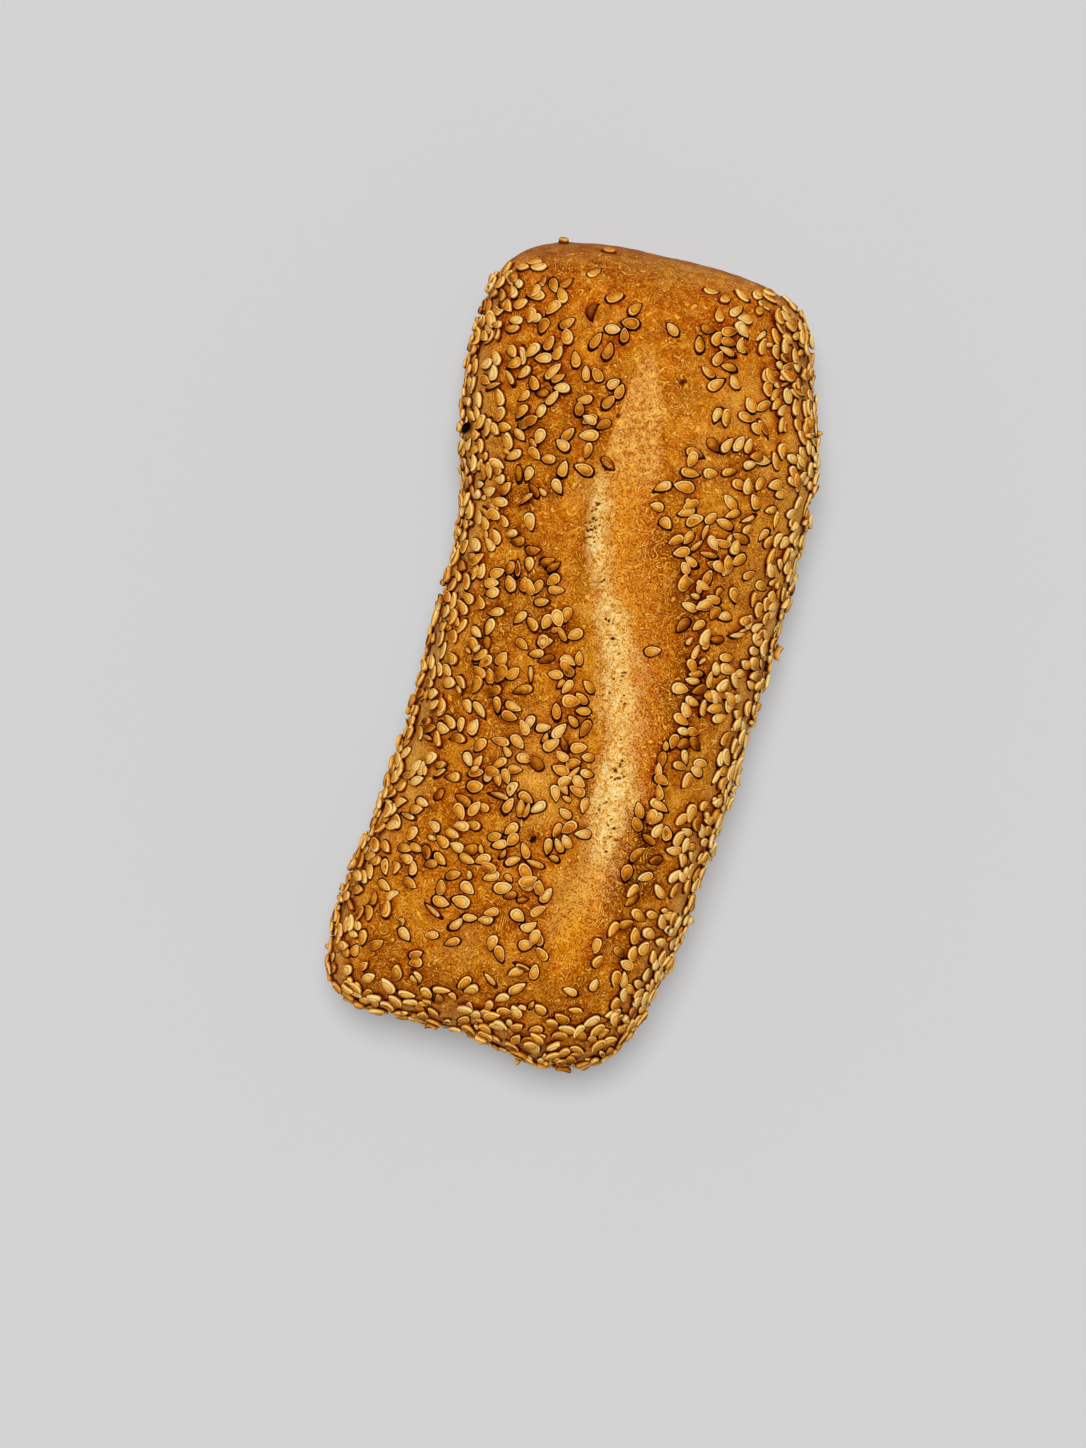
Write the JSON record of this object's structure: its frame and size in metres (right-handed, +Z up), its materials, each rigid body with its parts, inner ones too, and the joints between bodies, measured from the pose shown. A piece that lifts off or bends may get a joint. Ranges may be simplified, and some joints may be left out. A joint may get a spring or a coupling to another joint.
{
  "type": "sesame bread roll",
  "caption": "Long, slightly bent bread roll with a flat base, blunt rounded ends and an opened score along its crown, covered in sesame seeds.",
  "frame": {"origin": "on the resting surface, under the centre of the roll's bounding box", "axes": "+Z up, square to the flat base; +Y along the roll, from the fully seeded end to the bare end; +X to the right of that, the side the roll bows to"},
  "size_m": [0.0746, 0.166, 0.0412],
  "materials": {
    "crust": "matt baked crust, mottled golden to chestnut brown, with a paler yellow and orange opened score",
    "sesame_seed": "satin toasted seed coat"
  },
  "bodies": {
    "root": {"bread_roll": "crust"}
  },
  "joints": []
}
